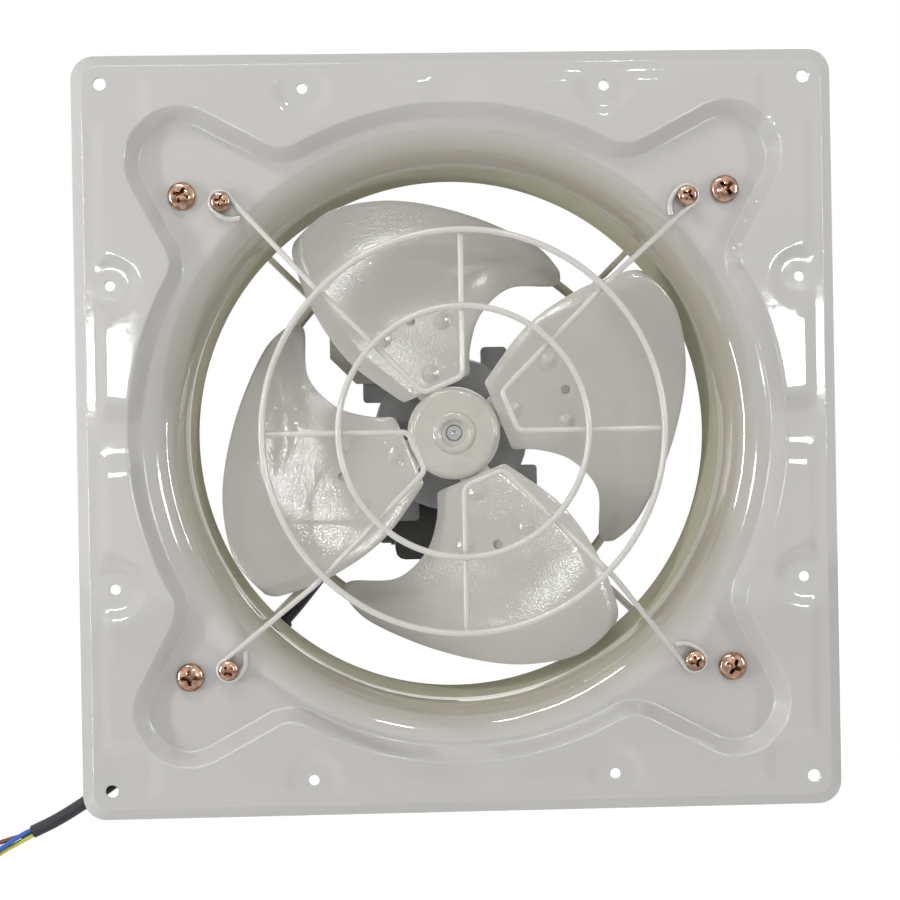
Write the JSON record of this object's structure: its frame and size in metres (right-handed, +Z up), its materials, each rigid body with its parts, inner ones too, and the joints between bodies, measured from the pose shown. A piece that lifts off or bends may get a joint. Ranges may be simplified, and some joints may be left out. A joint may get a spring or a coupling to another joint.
{
  "type": "window exhaust fan",
  "caption": "Square pressed-steel exhaust fan with a bell mouth, wire guard, curved riveted blades and a motor on four legs behind.",
  "frame": {"origin": "on the fan's axis, in the plane of the rim's rear edge that meets the wall", "axes": "+X to the right and +Z up as seen from the front; the front with the guard faces -Y, and the motor stands behind at +Y"},
  "size_m": [0.447, 0.1898, 0.4074],
  "materials": {
    "cream_enamel": "gloss enamel",
    "blade_enamel": "gloss enamel, fine orange peel",
    "guard_coat": "gloss coated wire",
    "grey_paint": "semi-gloss",
    "yellow_zinc": "yellow zinc plated steel",
    "steel": "bright",
    "lamination": "stacked sheet steel",
    "copper": "varnished wire",
    "dark_grey_plastic": "matte",
    "black_plastic": "matte",
    "black_pvc": "satin",
    "brown_pvc": "satin",
    "blue_pvc": "satin",
    "green_yellow_pvc": "green with a yellow stripe"
  },
  "bodies": {
    "frame": {"frame_panel": "cream_enamel", "guard_outer_ring": "guard_coat", "guard_inner_ring": "guard_coat", "guard_wire_top_right": "guard_coat", "guard_screw_top_right": "yellow_zinc", "leg_screw_top_right": "yellow_zinc", "motor_leg_top_right": "cream_enamel", "ear_bolt_top_right": "steel", "guard_wire_top_left": "guard_coat", "guard_screw_top_left": "yellow_zinc", "leg_screw_top_left": "yellow_zinc", "motor_leg_top_left": "cream_enamel", "ear_bolt_top_left": "steel", "guard_wire_bottom_left": "guard_coat", "guard_screw_bottom_left": "yellow_zinc", "leg_screw_bottom_left": "yellow_zinc", "motor_leg_bottom_left": "cream_enamel", "ear_bolt_bottom_left": "steel", "guard_wire_bottom_right": "guard_coat", "guard_screw_bottom_right": "yellow_zinc", "leg_screw_bottom_right": "yellow_zinc", "motor_leg_bottom_right": "cream_enamel", "ear_bolt_bottom_right": "steel", "rear_leg_ring": "cream_enamel", "motor_front_shield": "grey_paint", "motor_shell": "grey_paint", "stator_core": "lamination", "stator_winding_front": "copper", "stator_winding_rear": "copper", "front_bearing": "steel", "rear_bearing": "steel", "terminal_box": "dark_grey_plastic", "terminal_box_lid": "dark_grey_plastic", "cable_gland": "black_plastic", "cable_clip_1": "black_plastic", "cable_clip_2": "black_plastic", "lid_screw_1": "steel", "lid_screw_2": "steel", "power_cord": "black_pvc", "lead_brown": "brown_pvc", "lead_blue": "blue_pvc", "lead_green_yellow": "green_yellow_pvc"},
    "fan_rotor": {"motor_shaft": "steel", "rotor_core": "lamination", "fan_hub": "blade_enamel", "hub_set_screw": "steel", "blade_top": "blade_enamel", "blade_left": "blade_enamel", "blade_bottom": "blade_enamel", "blade_right": "blade_enamel"}
  },
  "joints": [
    {"name": "fan_spin", "type": "hinge", "parent": "frame", "child": "fan_rotor", "pos_m": [0, 0, 0], "axis": [0, -1, 0], "continuous": true}
  ]
}
